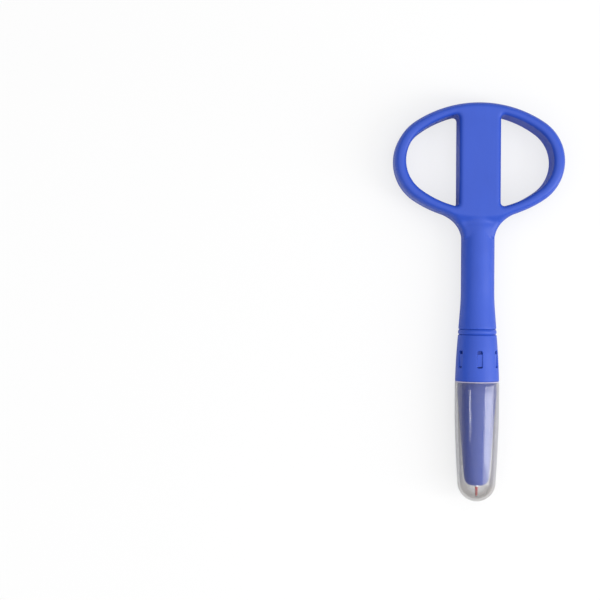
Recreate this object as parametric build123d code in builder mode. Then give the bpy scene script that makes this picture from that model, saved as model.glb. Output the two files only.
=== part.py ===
"""Dental probe with a two-loop bow handle, a sprung tip and a pull-off cap.

Frame: the tool lies on its back. +Z points out of the bow's front face, +Y runs along the
tool from the tip towards the bow, and +X is across the bow. The origin is the centre of
the bow's back face. Millimetres.
"""

import os
from math import atan2, cos, degrees, radians, sin

from build123d import *

# Bow: an oval plate of four arcs with two finger holes and a flat bar between them
bow_width = 67.8
bow_height = 46.4
bow_end_inset = 4.6
bow_thickness = 14.0
bow_rim_radius = 2.3
bar_width = 16.5
ring_end_width = 4.65
ring_side_width = 3.9
hole_end_inset = 4.9
hole_corner_radius = 1.5
hole_rim_radius = 1.5

# Neck and shaft
shaft_radius = 6.65
neck_face_step = 2.5
neck_edge_radius = 3.2
neck_fillet = 9.0
neck_end_run = 1.5
neck_inset = 0.5
shaft_root_depth = 2.5
shaft_root_radius = 5.4
shaft_rise_length = 7.0
shaft_straight = 28.6
shaft_flare = 15.2
shaft_flare_rise = 0.91
joint_edge_radius = 0.35

# Bead between the shaft and the collar, both seated on the shaft's spigot
bead_width = 2.2
bead_proud = 0.1
bead_crown = 0.5
spigot_shoulder = 1.76
spigot_length = 7.6
spigot_wall = 1.6
spigot_bore_depth = 36.0
seat_gap = 0.02

# Collar with a snap window for each tongue of the nose
collar_length = 18.4
collar_top_proud = 0.12
collar_swell = 0.68
collar_mouth_swell = 0.38
collar_wall = 1.62
window_count = 6
window_width = 2.0
window_margin = 5.4
window_end_gap = 0.5
window_corner_radius = 0.5

# Nose: a hollow cone whose root is a ring of snap tongues
nose_length = 41.7
nose_root_step = 0.56
nose_root_length = 5.0
nose_front_radius = 5.2
nose_front_length = 6.0
nose_end_radius = 1.9
tongue_end_gap = 0.4
tongue_wall = 1.35
tongue_gap = 0.06
tongue_slit = 1.2
hook_width = 1.9
hook_end_gap = 0.5
hook_catch_gap = 1.3
hook_sink = 0.35

# Sprung tip holder, with its front bush, spring, washer and preload screw
tip_travel = 2.0
bush_radius = 2.1
bush_length = 8.5
bush_flange_radius = 2.9
bush_flange_width = 1.0
bush_end_wall = 1.4
shank_radius = 1.0
shank_gap = 0.05
shank_proud = 0.45
holder_flange_radius = 2.7
holder_flange_width = 1.2
stem_radius = 1.2
stem_stop_radius = 1.6
stem_tail = 2.5
spring_bore_radius = 3.1
spring_length = 17.6
spring_turns = 9
spring_mean_radius = 2.3
spring_wire_radius = 0.22
washer_thickness = 0.5
washer_hole_radius = 1.85
washer_radius = 2.95
screw_radius = 4.2
screw_length = 6.0
screw_groove_count = 5
screw_groove_width = 0.5
screw_groove_depth = 0.35
screw_slot_width = 1.0
screw_slot_depth = 1.3

# Probe wire with its ball end and two colour bands
wire_radius = 0.45
wire_end_radius = 0.26
wire_reach = 4.1
wire_depth = 5.0
ball_radius = 0.36
band_count = 2
band_thickness = 0.16
band_width = 1.75
band_gap = 0.15
band_start = 0.15

# Cap: a translucent thimble that grips the nose's root
cap_taper = 1.22
cap_tip_room = 0.59
cap_straight = 11.5
cap_wall = 1.0
cap_grip_gap = 0.04
cap_seat_gap = 0.05
cap_lip_radius = 0.3

# Stations along the tool, worked out from the sizes above
axis_height = bow_thickness / 2
hole_half_width = bow_width / 2 - ring_end_width
hole_half_height = bow_height / 2 - ring_side_width
plate_end = -bow_height / 2
neck_end = plate_end - neck_fillet + neck_end_run
shaft_root = plate_end + shaft_root_depth
flare_start = plate_end - shaft_straight
shaft_end = flare_start - shaft_flare
spigot_end = shaft_end - spigot_length
collar_top = shaft_end - bead_width
collar_end = collar_top - collar_length
tongue_length = spigot_end - tongue_end_gap - collar_end
tongue_end = collar_end + tongue_length
window_height = tongue_length - window_margin - window_end_gap
hook_height = window_height - hook_end_gap - hook_catch_gap
window_low = collar_end + window_margin
window_middle = window_low + window_height / 2
hook_middle = window_low + hook_end_gap + hook_height / 2
nose_front = collar_end - nose_length + nose_front_length
nose_end = collar_end - nose_length
bush_front = nose_end + bush_end_wall
bush_shoulder = bush_front + bush_length
bush_back = bush_shoulder + bush_flange_width
holder_flange_back = bush_back + holder_flange_width
spring_back = holder_flange_back + spring_length
screw_front = spring_back + washer_thickness
screw_back = screw_front + screw_length
shank_front = nose_end - shank_proud
wire_end = shank_front - wire_reach
cap_mouth = collar_end - cap_seat_gap
cap_taper_start = cap_mouth - cap_straight
cap_end = wire_end - ball_radius - cap_tip_room - cap_wall

# Radii and thicknesses worked out from the pieces that they fit
bow_end_radius = bow_height / 2 - bow_end_inset
hole_end_radius = hole_half_height - hole_end_inset
neck_thickness = bow_thickness - 2 * neck_face_step
shaft_end_radius = shaft_radius + shaft_flare_rise
bead_radius = shaft_end_radius + bead_proud
spigot_radius = shaft_end_radius - spigot_shoulder
spigot_bore_radius = spigot_radius - spigot_wall
spigot_seat_radius = spigot_radius + seat_gap
collar_top_radius = shaft_end_radius + collar_top_proud
collar_middle_radius = collar_top_radius + collar_swell
collar_end_radius = collar_middle_radius + collar_mouth_swell
tongue_seat_radius = collar_middle_radius - collar_wall
tongue_radius = tongue_seat_radius - tongue_gap
tongue_bore_radius = tongue_radius - tongue_wall
hook_radius = collar_middle_radius - hook_sink
nose_root_radius = collar_middle_radius - nose_root_step
screw_seat_radius = screw_radius + seat_gap
shank_bore_radius = shank_radius + shank_gap
cap_bore_radius = nose_root_radius + cap_grip_gap
cap_mouth_radius = cap_bore_radius + cap_wall
cap_front_radius = cap_mouth_radius - cap_taper
cap_dome_start = cap_end + cap_front_radius

tool_plane = Plane.XY.offset(axis_height)
tool_axis = Axis((0, 0, axis_height), (0, 1, 0))


def oval(half_width, half_height, end_radius):
    """Closed oval of two end arcs and two long arcs that meet them smoothly."""
    run = half_width - end_radius
    rise = (run**2 - (half_height - end_radius) ** 2) / (2 * (half_height - end_radius))
    turn = degrees(atan2(rise, run))
    with BuildLine() as outline:
        CenterArc((run, 0), end_radius, -turn, 2 * turn)
        CenterArc((0, -rise), half_height + rise, turn, 180 - 2 * turn)
        CenterArc((-run, 0), end_radius, 180 - turn, 2 * turn)
        CenterArc((0, rise), half_height + rise, 180 + turn, 180 - 2 * turn)
    make_face(outline.edges())


def turned(*corners):
    """Solid of revolution about the tool axis from (radius, station) corners."""
    with BuildSketch(tool_plane) as profile:
        with BuildLine():
            Polyline(*corners, close=True)
        make_face()
    revolve(profile.sketch, axis=tool_axis)


def wire_radius_at(station):
    """Radius of the tapered wire at a station in front of the holder."""
    share = (shank_front - station) / wire_reach
    return wire_radius + share * (wire_end_radius - wire_radius)


def is_hole_rim(edge):
    """True for the edges where a finger hole meets the bow's flat faces."""
    middle = edge.center()
    on_face = min(middle.Z, bow_thickness - middle.Z) < 0.001
    inside_oval = abs(middle.X) < hole_half_width + 0.1 and abs(middle.Y) < hole_half_height + 0.1
    return on_face and inside_oval


def radial_plane(angle):
    """Plane through the tool axis whose normal points outwards at an angle from +Z."""
    outwards = (sin(radians(angle)), 0, cos(radians(angle)))
    return Plane(origin=(0, 0, axis_height), x_dir=(0, 1, 0), z_dir=outwards)


os.makedirs("parts", exist_ok=True)
window_angles = [step * 360 / window_count for step in range(window_count)]

# Web that joins the bow's plate to the shaft with wide concave fillets
with BuildPart() as neck_web:
    with BuildSketch(Plane.XY.offset(axis_height - neck_thickness / 2)) as web_outline:
        oval((bow_width - bow_rim_radius) / 2, (bow_height - bow_rim_radius) / 2, bow_end_radius)
        with Locations((0, neck_end / 2)):
            Rectangle(2 * (shaft_radius - neck_inset), -neck_end)
        inner_corners = web_outline.vertices().group_by(Axis.Y)[1]
        fillet(inner_corners, neck_fillet)
    extrude(amount=neck_thickness)
    web_faces = neck_web.edges().group_by(Axis.Z)
    fillet(web_faces[0] + web_faces[-1], neck_edge_radius)

# Bow handle: plate, neck and cored shaft in one moulding
with BuildPart() as bow_handle:
    with BuildSketch(Plane.XY):
        oval(bow_width / 2, bow_height / 2, bow_end_radius)
    extrude(amount=bow_thickness)
    fillet(bow_handle.edges().group_by(Axis.Z)[0], bow_rim_radius)
    fillet(bow_handle.edges().group_by(Axis.Z)[-1], bow_rim_radius)
    add(neck_web.part)
    with BuildSketch(Plane.XY) as finger_holes:
        oval(hole_half_width, hole_half_height, hole_end_radius)
        Rectangle(bar_width, bow_height, mode=Mode.SUBTRACT)
        fillet(finger_holes.vertices().filter_by(lambda v: abs(v.X) < bar_width), hole_corner_radius)
    extrude(amount=bow_thickness, mode=Mode.SUBTRACT)
    fillet(bow_handle.edges().filter_by(is_hole_rim), hole_rim_radius)
    with BuildSketch(tool_plane):
        with BuildLine():
            Line((0, shaft_root), (shaft_root_radius, shaft_root))
            rise = Spline(
                (shaft_root_radius, shaft_root),
                (shaft_radius, shaft_root - shaft_rise_length),
                tangents=[(0, -1), (0, -1)],
            )
            Line(rise @ 1, (shaft_radius, flare_start))
            flare = Spline(
                (shaft_radius, flare_start),
                (shaft_end_radius, shaft_end + joint_edge_radius),
                tangents=[(0, -1), (0.07, -1)],
            )
            joint_edge = (shaft_end_radius - joint_edge_radius, shaft_end)
            RadiusArc(flare @ 1, joint_edge, -joint_edge_radius)
            Polyline(
                joint_edge,
                (spigot_radius, shaft_end),
                (spigot_radius, spigot_end),
                (spigot_bore_radius, spigot_end),
                (spigot_bore_radius, spigot_end + spigot_bore_depth),
                (0, spigot_end + spigot_bore_depth + spigot_bore_radius / 2),
                (0, shaft_root),
            )
        make_face()
    revolve(axis=tool_axis)
bow_handle.part.label = "bow_handle"
export_step(bow_handle.part, "parts/bow_handle.step")

# Bead: a ring with a crowned rim, trapped between the shaft's end and the collar
with BuildPart() as joint_bead:
    with BuildSketch(tool_plane):
        with BuildLine():
            Polyline(
                (bead_radius - bead_crown, shaft_end),
                (spigot_seat_radius, shaft_end),
                (spigot_seat_radius, collar_top),
                (bead_radius - bead_crown, collar_top),
            )
            ThreePointArc(
                (bead_radius - bead_crown, shaft_end),
                (bead_radius, (shaft_end + collar_top) / 2),
                (bead_radius - bead_crown, collar_top),
            )
        make_face()
    revolve(axis=tool_axis)
joint_bead.part.label = "joint_bead"
export_step(joint_bead.part, "parts/joint_bead.step")

# Collar: flared sleeve with a ring of snap windows
with BuildPart() as collar:
    with BuildSketch(tool_plane):
        with BuildLine():
            outer = ThreePointArc(
                (collar_top_radius, collar_top - joint_edge_radius),
                (collar_middle_radius, (collar_top + collar_end) / 2),
                (collar_end_radius, collar_end),
            )
            top_edge = (collar_top_radius - joint_edge_radius, collar_top)
            RadiusArc(top_edge, outer @ 0, -joint_edge_radius)
            Polyline(
                top_edge,
                (spigot_seat_radius, collar_top),
                (spigot_seat_radius, spigot_end),
                (tongue_seat_radius, spigot_end),
                (tongue_seat_radius, collar_end),
                (collar_end_radius, collar_end),
            )
        make_face()
    revolve(axis=tool_axis)
    for angle in window_angles:
        with BuildSketch(radial_plane(angle)):
            with Locations((window_middle, 0)):
                RectangleRounded(window_height, window_width, window_corner_radius)
        extrude(amount=2 * collar_end_radius, mode=Mode.SUBTRACT)
collar.part.label = "collar"
export_step(collar.part, "parts/collar.step")

# Nose: cone with a stepped bore, snap tongues at its root and a hook on each tongue
with BuildPart() as nose:
    with BuildSketch(tool_plane):
        with BuildLine():
            Polyline(
                (nose_front_radius, nose_front),
                (nose_root_radius, collar_end - nose_root_length),
                (nose_root_radius, collar_end),
                (tongue_radius, collar_end),
                (tongue_radius, tongue_end),
                (tongue_bore_radius, tongue_end),
                (tongue_bore_radius, collar_end),
                (screw_seat_radius, screw_back),
                (screw_seat_radius, spring_back),
                (spring_bore_radius, spring_back),
                (spring_bore_radius, bush_shoulder),
                (bush_radius + seat_gap, bush_shoulder),
                (bush_radius + seat_gap, bush_front),
                (shank_bore_radius, bush_front),
                (shank_bore_radius, nose_end),
                (nose_end_radius, nose_end),
            )
            Spline(
                (nose_end_radius, nose_end),
                (nose_front_radius, nose_front),
                tangents=[(1, 0), (0.11, 1)],
            )
        make_face()
    revolve(axis=tool_axis)
    for angle in window_angles:
        with BuildSketch(radial_plane(angle)):
            with Locations((hook_middle, 0)):
                Rectangle(hook_height, hook_width)
        extrude(amount=hook_radius)
        with BuildSketch(radial_plane(angle + 180 / window_count)):
            with Locations((tongue_end, 0)):
                Rectangle(2 * (tongue_length - hook_end_gap), tongue_slit)
        extrude(amount=collar_end_radius, mode=Mode.SUBTRACT)
    with BuildSketch(tool_plane):
        with Locations((tongue_bore_radius / 2, window_middle)):
            Rectangle(tongue_bore_radius, window_height)
    revolve(axis=tool_axis, mode=Mode.SUBTRACT)
nose.part.label = "nose"
export_step(nose.part, "parts/nose.step")

# Front bush that guides the tip holder's shank
with BuildPart() as front_bush:
    turned(
        (shank_bore_radius, bush_front),
        (bush_radius, bush_front),
        (bush_radius, bush_shoulder),
        (bush_flange_radius, bush_shoulder),
        (bush_flange_radius, bush_back),
        (shank_bore_radius, bush_back),
    )
front_bush.part.label = "front_bush"
export_step(front_bush.part, "parts/front_bush.step")

# Tip holder: shank, stop flange and stem, bored for the probe wire
with BuildPart() as tip_holder:
    turned(
        (wire_radius, shank_front),
        (shank_radius, shank_front),
        (shank_radius, bush_back),
        (holder_flange_radius, bush_back),
        (holder_flange_radius, holder_flange_back),
        (stem_stop_radius, holder_flange_back),
        (stem_stop_radius, screw_front - tip_travel),
        (stem_radius, screw_front - tip_travel),
        (stem_radius, screw_back + stem_tail),
        (0, screw_back + stem_tail),
        (0, shank_front + wire_depth),
        (wire_radius, shank_front + wire_depth),
    )
    chamfer(tip_holder.edges().group_by(Axis.Y)[-1], stem_radius / 4)
tip_holder.part.label = "tip_holder"
export_step(tip_holder.part, "parts/tip_holder.step")

# Probe wire with a ball end
with BuildPart() as probe_tip:
    turned(
        (0, shank_front + wire_depth),
        (wire_radius, shank_front + wire_depth),
        (wire_radius, shank_front),
        (wire_end_radius, wire_end),
        (0, wire_end),
    )
    with Locations((0, wire_end, axis_height)):
        Sphere(ball_radius)
probe_tip.part.label = "probe_tip"
export_step(probe_tip.part, "parts/probe_tip.step")

# Colour bands on the wire
for number in range(band_count):
    band_back = shank_front - band_start - number * (band_width + band_gap)
    band_front = band_back - band_width
    with BuildPart() as depth_band:
        turned(
            (wire_radius_at(band_back), band_back),
            (wire_radius_at(band_back) + band_thickness, band_back),
            (wire_radius_at(band_front) + band_thickness, band_front),
            (wire_radius_at(band_front), band_front),
        )
    depth_band.part.label = f"depth_band_{number + 1}"
    export_step(depth_band.part, f"parts/depth_band_{number + 1}.step")

# Washer and preload screw behind the spring
with BuildPart() as spring_washer:
    turned(
        (washer_hole_radius, spring_back),
        (washer_radius, spring_back),
        (washer_radius, screw_front),
        (washer_hole_radius, screw_front),
    )
spring_washer.part.label = "spring_washer"
export_step(spring_washer.part, "parts/spring_washer.step")

with BuildPart() as preload_screw:
    turned(
        (stem_radius + shank_gap, screw_front),
        (screw_radius, screw_front),
        (screw_radius, screw_back),
        (stem_radius + shank_gap, screw_back),
    )
    groove_pitch = screw_length / (screw_groove_count + 1)
    for number in range(screw_groove_count):
        groove = screw_front + (number + 1) * groove_pitch
        with BuildSketch(tool_plane):
            with Locations((screw_radius, groove)):
                Rectangle(2 * screw_groove_depth, screw_groove_width)
        revolve(axis=tool_axis, mode=Mode.SUBTRACT)
    with BuildSketch(tool_plane):
        with Locations((0, screw_back)):
            Rectangle(3 * screw_radius, 2 * screw_slot_depth)
    extrude(amount=screw_slot_width / 2, both=True, mode=Mode.SUBTRACT)
preload_screw.part.label = "preload_screw"
export_step(preload_screw.part, "parts/preload_screw.step")

# Compression spring between the holder's flange and the washer
coil_rise = spring_length - 2 * spring_wire_radius - 2 * seat_gap
coil_start = holder_flange_back + spring_wire_radius + seat_gap
with BuildPart() as force_spring:
    with BuildLine() as coil:
        Helix(
            pitch=coil_rise / spring_turns,
            height=coil_rise,
            radius=spring_mean_radius,
            center=(0, coil_start, axis_height),
            direction=(0, 1, 0),
        )
    with BuildSketch(Plane(origin=coil.line @ 0, z_dir=coil.line % 0)):
        Circle(spring_wire_radius)
    sweep(path=coil.line, is_frenet=True)
force_spring.part.label = "force_spring"
export_step(force_spring.part, "parts/force_spring.step")

# Cap: tapered thimble with a domed end
with BuildPart() as cap:
    with BuildSketch(tool_plane):
        with BuildLine():
            taper = Spline(
                (cap_mouth_radius, cap_taper_start),
                (cap_front_radius, cap_dome_start),
                tangents=[(0, -1), (-0.03, -1)],
            )
            Line((cap_mouth_radius, cap_mouth), taper @ 0)
            CenterArc((0, cap_dome_start), cap_front_radius, 270, 90)
            Line((0, cap_dome_start - cap_front_radius), (0, cap_dome_start - cap_front_radius + cap_wall))
            CenterArc((0, cap_dome_start), cap_front_radius - cap_wall, 270, 90)
            Polyline(
                (cap_front_radius - cap_wall, cap_dome_start),
                (cap_bore_radius, cap_mouth - nose_root_length),
                (cap_bore_radius, cap_mouth),
                (cap_mouth_radius, cap_mouth),
            )
        make_face()
    revolve(axis=tool_axis)
    fillet(cap.edges().group_by(Axis.Y)[-1], cap_lip_radius)
cap.part.label = "cap"
export_step(cap.part, "parts/cap.step")
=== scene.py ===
# Dental probe with a two-loop bow handle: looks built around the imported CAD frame.
# The tool lies on its back: +Z out of the bow's face, +Y from the tip towards the bow.
import math

import bmesh
import bpy
from mathutils import Matrix, Vector


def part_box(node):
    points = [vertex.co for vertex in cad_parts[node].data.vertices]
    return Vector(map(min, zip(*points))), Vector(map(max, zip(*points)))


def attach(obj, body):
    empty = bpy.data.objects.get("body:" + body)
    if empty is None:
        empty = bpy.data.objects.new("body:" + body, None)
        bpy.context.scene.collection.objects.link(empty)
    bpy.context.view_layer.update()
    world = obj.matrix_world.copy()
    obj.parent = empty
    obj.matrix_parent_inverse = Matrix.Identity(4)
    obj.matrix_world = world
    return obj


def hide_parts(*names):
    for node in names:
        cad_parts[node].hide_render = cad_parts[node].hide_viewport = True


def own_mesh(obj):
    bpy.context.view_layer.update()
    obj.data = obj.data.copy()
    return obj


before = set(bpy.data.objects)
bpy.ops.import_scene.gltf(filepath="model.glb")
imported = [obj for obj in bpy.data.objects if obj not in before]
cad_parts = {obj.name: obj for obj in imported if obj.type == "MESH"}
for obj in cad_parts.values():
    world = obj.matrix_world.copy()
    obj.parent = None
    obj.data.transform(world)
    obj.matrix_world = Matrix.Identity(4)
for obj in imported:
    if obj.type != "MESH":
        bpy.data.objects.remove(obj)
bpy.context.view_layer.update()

mm = 0.001
print("frame loaded:", len(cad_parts), "nodes")


def nodeSpan(node):  # a CAD node's box in millimetres
    low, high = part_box(node)
    return Vector(low) / mm, Vector(high) / mm


handleLow, handleHigh = nodeSpan("bow_handle")
collarLow, collarHigh = nodeSpan("collar")
noseFront = nodeSpan("nose")[0].y
capLow, capHigh = nodeSpan("cap")
springLow, springHigh = nodeSpan("force_spring")
axisHeight = (handleLow.z + handleHigh.z) / 2


class Wire:
    # one node's output; arithmetic on it adds Math nodes to the same tree
    def __init__(self, graph, socket):
        self.graph = graph
        self.socket = socket

    def math(self, operation, *others):
        return self.graph.node("ShaderNodeMath", {"operation": operation}, dict(enumerate((self, *others))))

    def __add__(self, other):
        return self.math("ADD", other)

    def __sub__(self, other):
        return self.math("SUBTRACT", other)

    def __rsub__(self, other):
        return self.graph.node("ShaderNodeMath", {"operation": "SUBTRACT"}, {0: other, 1: self})

    def __mul__(self, other):
        return self.math("MULTIPLY", other)

    def __truediv__(self, other):
        return self.math("DIVIDE", other)

    def __neg__(self):
        return self.math("MULTIPLY", -1.0)

    def __abs__(self):
        return self.math("ABSOLUTE")

    def __gt__(self, other):
        return self.math("GREATER_THAN", other)

    __radd__ = __add__
    __rmul__ = __mul__

    def most(self, other):
        return self.math("MAXIMUM", other)

    def least(self, other):
        return self.math("MINIMUM", other)

    def root(self):
        return self.math("SQRT")

    def clamped(self, low=0.0, high=1.0):
        return self.most(low).least(high)

    def out(self, name):
        return Wire(self.graph, self.socket.node.outputs[name])

    def axes(self):  # x, y and z of a vector
        parts = self.graph.node("ShaderNodeSeparateXYZ", {}, {0: self})
        return parts, parts.out("Y"), parts.out("Z")


class Graph:
    # a node tree under construction
    def __init__(self, tree):
        self.tree = tree

    def node(self, kind, settings=None, inputs=None):
        node = self.tree.nodes.new(kind)
        for name, setting in (settings or {}).items():
            setattr(node, name, setting)
        for key, item in (inputs or {}).items():
            socket = node.inputs[key]
            if isinstance(item, Wire):
                self.tree.links.new(item.socket, socket)
            else:
                socket.default_value = item
        return Wire(self, node.outputs[0]) if node.outputs else node


# Distance fields in millimetres, negative inside the plastic
def roundedJoin(a, b, radius):  # union with a concave fillet
    overA = (radius - a).most(0.0)
    overB = (radius - b).most(0.0)
    return a.least(b).most(radius) - (overA * overA + overB * overB).root()


def roundedMeet(a, b, radius):  # intersection with a rounded edge
    overA = (a + radius).most(0.0)
    overB = (b + radius).most(0.0)
    return a.most(b).least(-radius) + (overA * overA + overB * overB).root()


def ovalField(x, y, halfWidth, halfHeight, endRadius):  # two end arcs and two long arcs
    run = halfWidth - endRadius
    rise = (run**2 - (halfHeight - endRadius) ** 2) / (2 * (halfHeight - endRadius))
    side, up = abs(x), abs(y)
    endGap = ((side - run) * (side - run) + up * up).root() - endRadius
    longGap = (side * side + (up + rise) * (up + rise)).root() - (halfHeight + rise)
    beyond = side * rise > (up + rise) * run
    return endGap * beyond + longGap * (1.0 - beyond)


def hermite(y, start, end, low, high, endSlope):  # radius that leaves level and ends at a slope
    t = ((y - start) / (end - start)).clamped()
    lift = endSlope * abs(end - start)
    rise = high - low
    return low + t * t * (3 * rise - lift) + t * t * t * (lift - 2 * rise)


fieldMargin = 4.0  # mm; density counts up from this far outside the skin


def fieldMesh(name, buildField, low, high, voxel, material, inputs):
    # meshes a distance field inside a box
    tree = bpy.data.node_groups.new(name + "Field", "GeometryNodeTree")
    tree.interface.new_socket("Geometry", in_out="INPUT", socket_type="NodeSocketGeometry")
    named = {}
    for key in inputs:
        named[key] = tree.interface.new_socket(key, in_out="INPUT", socket_type="NodeSocketFloat")
    tree.interface.new_socket("Geometry", in_out="OUTPUT", socket_type="NodeSocketGeometry")
    graph = Graph(tree)
    entry = graph.node("NodeGroupInput")
    sizes = {key: entry.out(key) for key in inputs}
    x, y, z = graph.node("GeometryNodeInputPosition").axes()
    distance = buildField(x, y, z, sizes)
    low, high = Vector(low) - Vector((1, 1, 1)), Vector(high) + Vector((1, 1, 1))
    cells = [max(8, round((high[i] - low[i]) / voxel) + 1) for i in range(3)]
    high = Vector(low[i] + (cells[i] - 1) * voxel for i in range(3))
    cube = graph.node("GeometryNodeVolumeCube", {}, {
        "Density": (fieldMargin - distance).most(0.0), "Background": 0.0, "Min": low, "Max": high,
        "Resolution X": cells[0], "Resolution Y": cells[1], "Resolution Z": cells[2],
    })
    skin = graph.node("GeometryNodeVolumeToMesh", {"resolution_mode": "GRID"}, {"Volume": cube, "Threshold": fieldMargin})
    finishTree(graph, skin, material)
    return bakedTree(name, tree, {named[key].identifier: value for key, value in inputs.items()}, material)


def finishTree(graph, shape, material):  # from millimetres to metres, smooth, real and painted
    small = graph.node("GeometryNodeTransform", {}, {"Geometry": shape, "Scale": (mm, mm, mm)})
    smooth = graph.node("GeometryNodeSetShadeSmooth", {}, {"Geometry": small})
    real = graph.node("GeometryNodeRealizeInstances", {}, {"Geometry": smooth})
    painted = graph.node("GeometryNodeSetMaterial", {}, {"Geometry": real, "Material": material})
    graph.node("NodeGroupOutput", {}, {0: painted})


def bakedTree(name, tree, values, material):
    # the modifier goes once its mesh is taken
    carrier = bpy.data.objects.new(name + "Carrier", bpy.data.meshes.new(name + "Carrier"))
    bpy.context.scene.collection.objects.link(carrier)
    modifier = carrier.modifiers.new("Shape", "NODES")
    modifier.node_group = tree
    for identifier, value in values.items():
        modifier[identifier] = value
    evaluated = carrier.evaluated_get(bpy.context.evaluated_depsgraph_get())
    mesh = bpy.data.meshes.new_from_object(evaluated)
    carrier.modifiers.clear()
    bpy.data.objects.remove(carrier)
    mesh.name = name
    piece = bpy.data.objects.new(name, mesh)
    bpy.context.scene.collection.objects.link(piece)
    if not mesh.materials:
        mesh.materials.append(material)
    print(name, "made:", len(mesh.polygons), "faces")
    return piece


def placed(piece, body, slot, *nodes):
    if nodes:
        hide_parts(*nodes)
    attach(piece, body)
    return piece


# Materials; every pattern is in millimetres of Object coordinates
def newMaterial(name):
    material = bpy.data.materials.new(name)
    material.use_nodes = True
    material.node_tree.nodes.clear()
    graph = Graph(material.node_tree)
    place = graph.node("ShaderNodeTexCoord").out("Object")
    spot = graph.node("ShaderNodeVectorMath", {"operation": "SCALE"}, {0: place, "Scale": 1 / mm})
    return material, graph, spot


def noise(graph, spot, scale, detail=2.0, roughness=0.5, stretch=(1, 1, 1)):
    held = graph.node("ShaderNodeMapping", {}, {"Vector": spot, "Scale": stretch})
    return graph.node("ShaderNodeTexNoise", {}, {
        "Vector": held, "Scale": scale, "Detail": detail, "Roughness": roughness,
    })


def blendColour(graph, factor, first, second):
    mix = graph.node("ShaderNodeMix", {"data_type": "RGBA"}, {0: factor, 6: first, 7: second})
    return Wire(graph, mix.socket.node.outputs[2])               # the mix node's colour output


def finishMaterial(graph, sockets, height=None, heightScale=0.0, lift=0.0):
    inputs = dict(sockets)
    if height is not None:
        bump = graph.node("ShaderNodeBump", {}, {"Strength": 1.0, "Distance": heightScale * mm, "Height": height})
        inputs["Normal"] = bump
    shader = graph.node("ShaderNodeBsdfPrincipled", {}, inputs)
    if lift:                                                     # the floor's own white, which lights nothing
        seen = graph.node("ShaderNodeLightPath").out("Is Camera Ray") * lift
        glow = graph.node("ShaderNodeEmission", {}, {"Color": (1, 1, 1, 1), "Strength": 1.0})
        shader = graph.node("ShaderNodeMixShader", {}, {0: seen, 1: shader, 2: glow})
    graph.node("ShaderNodeOutputMaterial", {}, {"Surface": shader})


blueSettings = {
    "deep": (0.015, 0.062, 0.44, 1),     # shadowed pigment
    "bright": (0.021, 0.076, 0.50, 1),   # pigment at the surface
    "roughness": 0.46,
    "smudge": 0.16,                      # how far finger marks change the roughness
    "grainSize": 0.35,                   # mm
    "grainHeight": 0.006,                # mm
    "seamWidth": 0.09,                   # mm, half of the parting line
    "seamHeight": 2.2,                   # grain heights
    "gloss": 0.42,
}


def bluePlastic():
    material, graph, spot = newMaterial("navyBowPlastic")
    s = blueSettings
    x, y, z = spot.axes()
    cloud = noise(graph, spot, 0.06, 3.0)
    flow = noise(graph, spot, 0.5, 4.0, 0.6, (1, 0.18, 1))      # melt flow drawn along the tool
    grain = noise(graph, spot, 1 / s["grainSize"], 2.0)
    smudge = noise(graph, spot, 0.11, 5.0, 0.62)
    seam = (1.0 - abs(z - axisHeight) / s["seamWidth"]).clamped()
    shade = ((cloud - 0.5) * 1.3 + (flow - 0.5) * 0.5 + 0.5).clamped()
    colour = blendColour(graph, shade, s["deep"], s["bright"])
    roughness = s["roughness"] + (smudge - 0.5) * s["smudge"] + (grain - 0.5) * 0.05
    height = grain + seam * s["seamHeight"] + (flow - 0.5) * 0.8
    finishMaterial(graph, {
        "Base Color": colour, "Roughness": roughness.clamped(0.12, 0.6), "IOR": 1.49,
        "Specular IOR Level": s["gloss"],
    }, height, s["grainHeight"])
    return material


milkSettings = {
    # the shell's milk with a painted blue glow of the nose scattered through the wall, used over the nose
    "milkNoseGlow": (0.150, 0.142, 0.190, 1),
    "warm": (0.205, 0.175, 0.158, 1),    # beyond the nose, where the shell stands alone
    "emptyStart": 3.0, "emptyFade": 4.0,  # mm before the nose's end where warm begins, and its run
    "lip": (0.46, 0.44, 0.66, 1),        # painted highlight: the mouth's rim is made lighter, as if it catches the light
    "lipHighlightDepth": 0.55, "lipHighlightFade": 0.2, "lipHighlightAlpha": 0.6,
    "faceAlpha": 0.14,                   # each of the wall's two skins, seen square on
    "edgeAlpha": 0.74,
    "roughness": 0.12,
    "streakHeight": 0.002,               # mm
    "gloss": 0.6, "coatBend": 1.9, "coatRoughness": 0.06,
}


def milkyPlastic():
    material, graph, spot = newMaterial("milkyCapPlastic")
    s = milkSettings
    x, y, z = spot.axes()
    cloud = noise(graph, spot, 0.12, 3.0)
    streak = noise(graph, spot, 0.7, 4.0, 0.6, (1, 0.07, 1))
    fine = noise(graph, spot, 4.0, 2.0)
    facing = graph.node("ShaderNodeLayerWeight", {}, {"Blend": 0.35}).out("Facing")
    # the lip mask paints a highlight at the mouth's rim: lighter colour and more alpha
    lip = ((y - capHigh.y + s["lipHighlightDepth"]) / s["lipHighlightFade"]).clamped()
    empty = ((noseFront + s["emptyStart"] - y) / s["emptyFade"]).clamped()
    # over the nose the painted blue nose glow, beyond it the shell's own warm grey
    colour = blendColour(graph, empty, s["milkNoseGlow"], s["warm"])
    colour = blendColour(graph, lip, colour, s["lip"])
    alpha = s["faceAlpha"] + facing * (s["edgeAlpha"] - s["faceAlpha"]) + (streak - 0.5) * 0.08 + lip * s["lipHighlightAlpha"]
    roughness = s["roughness"] + (streak - 0.5) * 0.06 + (fine - 0.5) * 0.03
    finishMaterial(graph, {
        "Base Color": colour, "Roughness": roughness.clamped(0.08, 0.6), "IOR": 1.50,
        "Alpha": alpha.clamped(0.08, 0.95), "Specular IOR Level": s["gloss"],
        "Coat Weight": 1.0, "Coat IOR": s["coatBend"], "Coat Roughness": s["coatRoughness"],
    }, fine + streak * 1.2, s["streakHeight"])
    return material


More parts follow.
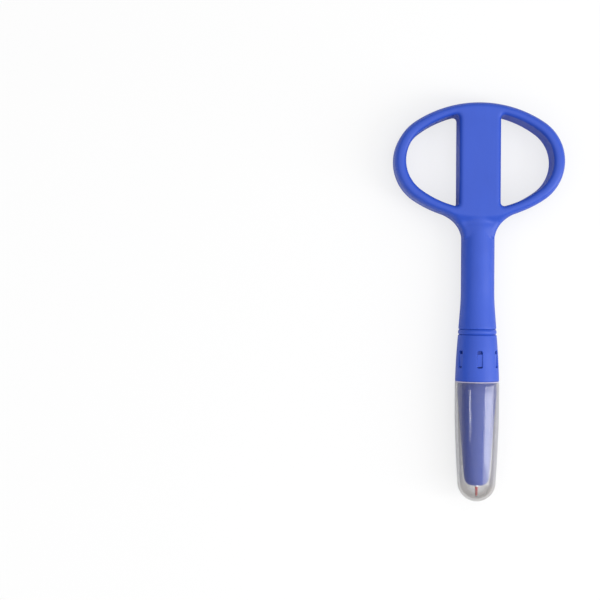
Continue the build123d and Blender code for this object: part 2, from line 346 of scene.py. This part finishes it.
def turnedMetal(name, colour, tint, roughness, ringPitch, ringHeight):
    # lathe rings run round the tool's axis, with tarnish in soft patches
    material, graph, spot = newMaterial(name)
    x, y, z = spot.axes()
    rings = noise(graph, spot, 1 / ringPitch, 3.0, 0.7, (0.05, 1, 0.05))
    patch = noise(graph, spot, 0.35, 4.0)
    finish = blendColour(graph, (patch * 1.4 - 0.2).clamped(), colour, tint)
    rough = roughness + (rings - 0.5) * 0.2 + (patch - 0.5) * 0.08
    finishMaterial(graph, {
        "Base Color": finish, "Metallic": 1.0, "Roughness": rough.clamped(0.05, 0.7),
    }, rings, ringHeight)
    return material


enamelSettings = {
    "red": (0.60, 0.020, 0.030, 1), "darkRed": (0.44, 0.012, 0.020, 1),
    "roughness": 0.26, "speckHeight": 0.008, "coat": 0.5, "coatRoughness": 0.08,
}


def bandEnamel():
    material, graph, spot = newMaterial("redBandEnamel")
    s = enamelSettings
    speck = noise(graph, spot, 2.4, 3.0)
    colour = blendColour(graph, speck, s["red"], s["darkRed"])
    rough = s["roughness"] + (speck - 0.5) * 0.2
    finishMaterial(graph, {
        "Base Color": colour, "Roughness": rough, "Coat Weight": s["coat"], "Coat Roughness": s["coatRoughness"],
    }, speck, s["speckHeight"])
    return material


handleFinish = bluePlastic()
capFinish = milkyPlastic()
metalSettings = {  # colour, tarnish, roughness, ring pitch and ring height in mm
    "turnedBrass": ((0.78, 0.58, 0.28, 1), (0.60, 0.42, 0.18, 1), 0.28, 0.18, 0.01),
    "turnedSteel": ((0.62, 0.62, 0.64, 1), (0.50, 0.50, 0.53, 1), 0.26, 0.14, 0.008),
    "springSteel": ((0.50, 0.50, 0.53, 1), (0.36, 0.36, 0.39, 1), 0.32, 0.5, 0.004),
    "polishedWire": ((0.70, 0.70, 0.72, 1), (0.58, 0.58, 0.60, 1), 0.14, 0.3, 0.003),
}
metals = {name: turnedMetal(name, *values) for name, values in metalSettings.items()}
brassFinish, holderFinish = metals["turnedBrass"], metals["turnedSteel"]
springFinish, wireFinish = metals["springSteel"], metals["polishedWire"]
bandFinish = bandEnamel()
nodeFinishes = {
    "bow_handle": handleFinish, "joint_bead": handleFinish, "collar": handleFinish, "nose": handleFinish,
    "front_bush": brassFinish, "preload_screw": brassFinish, "spring_washer": springFinish,
    "force_spring": springFinish, "tip_holder": holderFinish, "probe_tip": wireFinish,
    "depth_band_1": bandFinish, "depth_band_2": bandFinish, "cap": capFinish,
}
for nodeName, finish in nodeFinishes.items():
    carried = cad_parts[nodeName]
    carried.data.materials.clear()
    carried.data.materials.append(finish)
print("materials made:", len(nodeFinishes), "nodes painted")

# Bow handle: plate, two finger loops, neck and cored shaft as one field
bowSettings = {
    "voxel": 0.40,
    "endInset": 4.6, "rim": 2.4, "slopeStart": 1.6, "slopeLength": 3.6,
    "barHalf": 8.25, "ringEnd": 4.65, "ringSide": 3.9, "holeInset": 4.9, "holeCorner": 1.9, "holeRim": 1.8,
    "neckHalf": 6.2, "neckFaceStep": 1.7, "neckFillet": 8.6, "neckLength": 8.0, "blendFade": 5.0,
    "shaftRadius": 6.65, "rootRadius": 5.3, "rootDepth": 2.5, "riseLength": 7.0,
    "straight": 28.6, "flare": 15.2, "flareRise": 0.91, "flareSlope": 0.07, "endEdge": 0.35,
    "spigotRadius": 5.8, "spigotOverlap": 1.0, "boreRadius": 4.2, "boreDepth": 36.0,
    "neckBlend": 1.8,
}


def bowField(x, y, z, sizes):
    s = bowSettings
    halfWidth = handleHigh.x
    halfHeight = handleHigh.y
    up = z - axisHeight
    plateEnd = -halfHeight
    plate = ovalField(x, y, halfWidth, halfHeight, halfHeight - s["endInset"])
    stem = (abs(x) - s["neckHalf"]).most(y).most(plateEnd - s["neckLength"] - y)
    outline = roundedJoin(plate, stem, s["neckFillet"])
    fall = ((plate + s["slopeStart"]) / s["slopeLength"]).clamped()      # the face slopes down to the neck
    thick = axisHeight - fall * fall * (3.0 - 2.0 * fall) * s["neckFaceStep"]
    body = roundedMeet(outline, abs(up) - thick, s["rim"])
    holeHeight = halfHeight - s["ringSide"]
    hole = ovalField(x, y, halfWidth - s["ringEnd"], holeHeight, holeHeight - s["holeInset"])
    hole = roundedMeet(hole, s["barHalf"] - abs(x), s["holeCorner"])
    body = roundedMeet(body, -hole, s["holeRim"])
    # turned part: shaft, spigot and core
    reach = (x * x + up * up).root()
    rootStart = plateEnd + s["rootDepth"]
    flareStart = plateEnd - s["straight"]
    shaftEnd = flareStart - s["flare"]
    radius = hermite(y, rootStart, rootStart - s["riseLength"], s["rootRadius"], s["shaftRadius"], 0.0)
    radius = radius + hermite(y, flareStart, shaftEnd, 0.0, s["flareRise"], s["flareSlope"])
    shaft = roundedMeet(reach - radius, shaftEnd - y, s["endEdge"]).most(y - rootStart)
    fade = ((y - plateEnd + s["neckLength"]) / s["blendFade"]).clamped(0.02, 1.0)
    body = roundedJoin(body, shaft, fade * sizes["Neck blend"])
    spigot = (reach - s["spigotRadius"]).most(handleLow.y - y).most(y - shaftEnd - s["spigotOverlap"])
    core = (reach - s["boreRadius"]).most(y - handleLow.y - s["boreDepth"])
    return body.least(spigot).most(-core)


bow = fieldMesh(
    "bowHandleSkin", bowField, handleLow, handleHigh, bowSettings["voxel"], handleFinish,
    {"Neck blend": bowSettings["neckBlend"]},
)
placed(bow, "handle", "handle_plastic", "bow_handle")

# Collar: flared sleeve with a ring of soft-edged snap windows
collarSettings = {
    "voxel": 0.17,
    "topRadius": 7.68, "swell": 0.68, "mouthSwell": 0.38, "wall": 1.62, "topEdge": 0.35,
    "seatRadius": 5.82, "seatDepth": 5.4,
    "mouthEdge": 0.12, "windowRim": 0.22,
    "windows": 6, "windowWidth": 2.0, "windowHeight": 6.7, "windowMargin": 5.4, "windowCorner": 0.5,
}


def collarField(x, y, z, sizes):
    s = collarSettings
    up = z - axisHeight
    reach = (x * x + up * up).root()
    top, end = collarHigh.y, collarLow.y
    share = ((top - y) / (top - end)).clamped()
    curveA = 4 * s["swell"] - (s["swell"] + s["mouthSwell"])      # parabola through the three radii
    curveB = (s["swell"] + s["mouthSwell"]) - curveA
    outer = reach - (s["topRadius"] + share * curveA + share * share * curveB)
    sleeve = roundedMeet(outer, y - top, s["topEdge"])
    sleeve = roundedMeet(sleeve, end - y, s["mouthEdge"])
    narrow = reach - s["seatRadius"]
    wide = (reach - (s["topRadius"] + s["swell"] - s["wall"])).most(y - (top - s["seatDepth"]))
    sleeve = sleeve.most(-narrow.least(wide))
    step = 2 * math.pi / s["windows"]
    turn = x.math("ARCTAN2", up)
    local = (turn / step + 0.5).math("FLOORED_MODULO", 1.0) * step - step / 2
    across = abs(local.math("SINE") * reach) - s["windowWidth"] / 2
    along = abs(y - (end + s["windowMargin"] + s["windowHeight"] / 2)) - s["windowHeight"] / 2
    window = roundedMeet(across, along, s["windowCorner"])
    return roundedMeet(sleeve, -window, sizes["Window rim"])


collarSkin = fieldMesh(
    "collarSkin", collarField, collarLow, collarHigh, collarSettings["voxel"], handleFinish,
    {"Window rim": collarSettings["windowRim"]},
)
placed(collarSkin, "handle", "handle_plastic", "collar")

# Cap: double-walled thimble, turned from its profile, with two faint sink rings
capSettings = {
    "straight": 11.5, "taper": 1.22, "taperPower": 1.55, "inset": 0.01,
    "wall": 1.0, "lip": 0.3, "boreRadius": 7.84, "boreLength": 5.0,
    "segments": 160, "steps": 90, "lipSteps": 4, "domeSteps": 24,
    "sinkRings": (-108.5, -110.1), "sinkDepth": 0.035, "sinkWidth": 0.35,
}


def turnedMesh(name, profile, segments, material):
    # spins a closed list of (radius, station) about the tool's axis; a radius of zero closes a pole
    mesh = bpy.data.meshes.new(name)
    build = bmesh.new()
    rings = []
    for radius, station in profile:
        if rings and (radius, station) == profile[0]:             # a closed profile ends on its first ring
            rings.append(rings[0])
            continue
        if radius < 1e-6:
            rings.append([build.verts.new((0, station * mm, axisHeight * mm))])
            continue
        ring = []
        for index in range(segments):
            turn = 2 * math.pi * index / segments
            up = (axisHeight + radius * math.cos(turn)) * mm
            ring.append(build.verts.new((radius * mm * math.sin(turn), station * mm, up)))
        rings.append(ring)
    for first, second in zip(rings, rings[1:]):
        if len(first) == len(second) == 1:
            continue
        for index in range(segments):
            after = (index + 1) % segments
            corners = []
            for ring, order in ((first, (index, after)), (second, (after, index))):
                corners += [ring[0]] if len(ring) == 1 else [ring[order[0]], ring[order[1]]]
            build.faces.new(corners)
    bmesh.ops.recalc_face_normals(build, faces=build.faces)
    build.to_mesh(mesh)
    build.free()
    mesh.polygons.foreach_set("use_smooth", [True] * len(mesh.polygons))
    mesh.materials.append(material)
    piece = bpy.data.objects.new(name, mesh)
    bpy.context.scene.collection.objects.link(piece)
    print(name, "made:", len(mesh.polygons), "faces")
    return piece


def capProfile():
    s = capSettings
    mouth, tip = capHigh.y, capLow.y
    mouthRadius = capHigh.x - s["inset"]
    frontRadius = mouthRadius - s["taper"]
    domeStart = tip + frontRadius
    taperStart = mouth - s["straight"]
    dome = s["domeSteps"]
    outside = []
    for index in range(s["lipSteps"] + 1):                       # rounded lip
        turn = math.pi / 2 * index / s["lipSteps"]
        outside.append((mouthRadius - s["lip"] + s["lip"] * math.sin(turn), mouth - s["lip"] + s["lip"] * math.cos(turn)))
    outside += [(mouthRadius, mouth - s["straight"] * share / 4) for share in range(1, 4)]
    for index in range(s["steps"] + 1):
        share = index / s["steps"]
        station = taperStart + (domeStart - taperStart) * share
        fall = mouthRadius - (mouthRadius - frontRadius) * (share ** s["taperPower"])
        sink = sum(math.exp(-(((station - ring) / s["sinkWidth"]) ** 2)) for ring in s["sinkRings"])
        outside.append((fall - s["sinkDepth"] * sink, station))
    for index in range(1, dome + 1):
        turn = math.pi / 2 * index / dome
        radius = frontRadius * math.cos(turn) if index < dome else 0.0
        outside.append((radius, domeStart - frontRadius * math.sin(turn)))
    inner = frontRadius - s["wall"]
    inside = [(0.0, domeStart - inner)]
    for index in range(dome - 1, -1, -1):
        turn = math.pi / 2 * index / dome
        inside.append((inner * math.cos(turn), domeStart - inner * math.sin(turn)))
    inside += [(s["boreRadius"], mouth - s["boreLength"]), (s["boreRadius"], mouth)]
    return outside, inside


outside, inside = capProfile()
cap = turnedMesh("capShell", outside + inside + [outside[0]], capSettings["segments"], capFinish)
placed(cap, "cap", "cap_plastic", "cap")

# Force spring: closed end coils, open ones between
springSettings = {"wire": 0.44, "turns": 9, "endTurns": 1, "stepsPerTurn": 36, "sides": 12, "travel": 2.0}


def makeSpring():
    s = springSettings
    length, middle = springHigh.y - springLow.y, springHigh.x - s["wire"] / 2
    tree = bpy.data.node_groups.new("springCoil", "GeometryNodeTree")
    values = {}
    for key, value in (("Wire radius", s["wire"] / 2), ("Coil radius", middle), ("Open turns", s["turns"])):
        socket = tree.interface.new_socket(key, in_out="INPUT", socket_type="NodeSocketFloat")
        values[socket.identifier] = value
    tree.interface.new_socket("Geometry", in_out="OUTPUT", socket_type="NodeSocketGeometry")
    graph = Graph(tree)
    entry = graph.node("NodeGroupInput")
    wire, coil, turns = (entry.out(key) for key in ("Wire radius", "Coil radius", "Open turns"))
    allTurns = turns + 2 * s["endTurns"]
    spiral = graph.node("GeometryNodeCurveSpiral", {}, {
        "Resolution": s["stepsPerTurn"], "Rotations": allTurns,
        "Start Radius": coil, "End Radius": coil, "Height": allTurns,
    })
    x, y, turn = graph.node("GeometryNodeInputPosition").axes()      # one unit of height is one turn
    pitch = (length - wire * (2 + 4 * s["endTurns"])) / turns
    closed = turn.least(s["endTurns"]) + (turn - turns - s["endTurns"]).most(0.0)
    rise = wire + closed * wire * 2 + (turn - s["endTurns"]).most(0.0).least(turns) * pitch
    place = graph.node("ShaderNodeCombineXYZ", {}, {"X": x, "Y": rise + springLow.y, "Z": y + axisHeight})
    path = graph.node("GeometryNodeSetPosition", {}, {"Geometry": spiral, "Position": place})
    section = graph.node("GeometryNodeCurvePrimitiveCircle", {}, {"Resolution": s["sides"], "Radius": wire})
    swept = graph.node("GeometryNodeCurveToMesh", {}, {"Curve": path, "Profile Curve": section, "Fill Caps": True})
    finishTree(graph, swept, springFinish)
    spring = bakedTree("springCoil", tree, values, springFinish)
    build = bmesh.new()
    build.from_mesh(spring.data)
    bmesh.ops.remove_doubles(build, verts=build.verts, dist=1e-7)
    bmesh.ops.recalc_face_normals(build, faces=build.faces)
    build.to_mesh(spring.data)
    build.free()
    placed(spring, "handle", "spring_steel", "force_spring")
    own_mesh(spring)


makeSpring()

# Camera straight above, over the tool's left
cameraSettings = {"place": (-0.0710, -0.0553, 0.5194), "angle": 26.37, "roll": 0.34, "rollCentre": (0.0, -0.0553)}


def makeCamera():
    s = cameraSettings
    camera = bpy.data.objects.new("Camera", bpy.data.cameras.new("Camera"))
    camera.data.sensor_width = 36.0
    camera.data.lens = camera.data.sensor_width / 2 / math.tan(math.radians(s["angle"] / 2))
    roll = math.radians(s["roll"])
    centre = Vector((*s["rollCentre"], 0))
    camera.location = centre + Matrix.Rotation(roll, 3, "Z") @ (Vector(s["place"]) - centre)
    camera.rotation_euler = (0, 0, roll)
    bpy.context.scene.collection.objects.link(camera)
    bpy.context.scene.camera = camera


makeCamera()

# Pale floor, tilted a little: the tool rests on the bow's back edge and the cap's mouth
floorSettings = {
    "size": 3.0, "colour": (0.80, 0.80, 0.80, 1), "fleck": 0.985, "lift": 0.7,
    "restBow": (20.5, 0.0), "restCap": (-87.65, -1.84),          # y and z in mm
}


def makeFloor():
    s = floorSettings
    (bowY, bowZ), (capY, capZ) = s["restBow"], s["restCap"]
    slope = (bowZ - capZ) / (bowY - capY)
    half = s["size"] / 2
    mesh = bpy.data.meshes.new("floorSheet")
    corners = ((-half, -half), (half, -half), (half, half), (-half, half))
    rows = [(x, y, bowZ * mm + (y - bowY * mm) * slope) for x, y in corners]
    mesh.from_pydata(rows, [], [(0, 1, 2, 3)])
    floor = bpy.data.objects.new("floorSheet", mesh)
    bpy.context.scene.collection.objects.link(floor)
    material, graph, spot = newMaterial("paleFloor")
    fleck = noise(graph, spot, 0.02, 4.0)
    darker = (*(channel * s["fleck"] for channel in s["colour"][:3]), 1)
    colour = blendColour(graph, fleck, s["colour"], darker)
    finishMaterial(graph, {"Base Color": colour, "Roughness": 0.9, "Specular IOR Level": 0.1}, lift=s["lift"])
    mesh.materials.append(material)


makeFloor()

# Soft studio light: a broad low panel on the right, a small one on the left, a bright zenith
lightSettings = {
    "zenith": 1.9, "horizon": 0.12, "sideBias": 0.3, "backdrop": 0.93,
    "panels": {
        "rightPanel": {"angle": 61.0, "distance": 0.55, "size": (0.54, 0.17), "centre": -0.170, "power": 2.1},
        "leftPanel": {"angle": -44.0, "distance": 0.55, "size": (0.055, 0.065), "centre": -0.160, "power": 0.16},
    },
}


def makeLights():
    scene = bpy.context.scene
    world = bpy.data.worlds.new("studio")
    scene.world = world
    world.use_nodes = True
    world.node_tree.nodes.clear()
    graph = Graph(world.node_tree)
    x, y, z = graph.node("ShaderNodeTexCoord").out("Generated").axes()
    up = z.clamped()
    glow = lightSettings["horizon"] + up * up * (lightSettings["zenith"] - lightSettings["horizon"])
    glow = glow * (1.0 + x * lightSettings["sideBias"])
    seen = graph.node("ShaderNodeLightPath").out("Is Camera Ray")
    glow = glow + (lightSettings["backdrop"] - glow) * seen       # the sky itself shows pale
    background = graph.node("ShaderNodeBackground", {}, {"Color": (1, 1, 1, 1), "Strength": glow})
    graph.node("ShaderNodeOutputWorld", {}, {"Surface": background})
    for name, s in lightSettings["panels"].items():
        lamp = bpy.data.lights.new(name, "AREA")
        lamp.shape = "RECTANGLE"
        lamp.size, lamp.size_y = s["size"]
        lamp.energy = s["power"]
        panel = bpy.data.objects.new(name, lamp)
        turn = math.radians(s["angle"])
        reach = s["distance"]
        panel.location = (reach * math.sin(turn), s["centre"], axisHeight * mm + reach * math.cos(turn))
        panel.rotation_euler = (0, turn, 0)
        scene.collection.objects.link(panel)
    scene.view_settings.view_transform = "Standard"


makeLights()
print("camera, floor and light made")
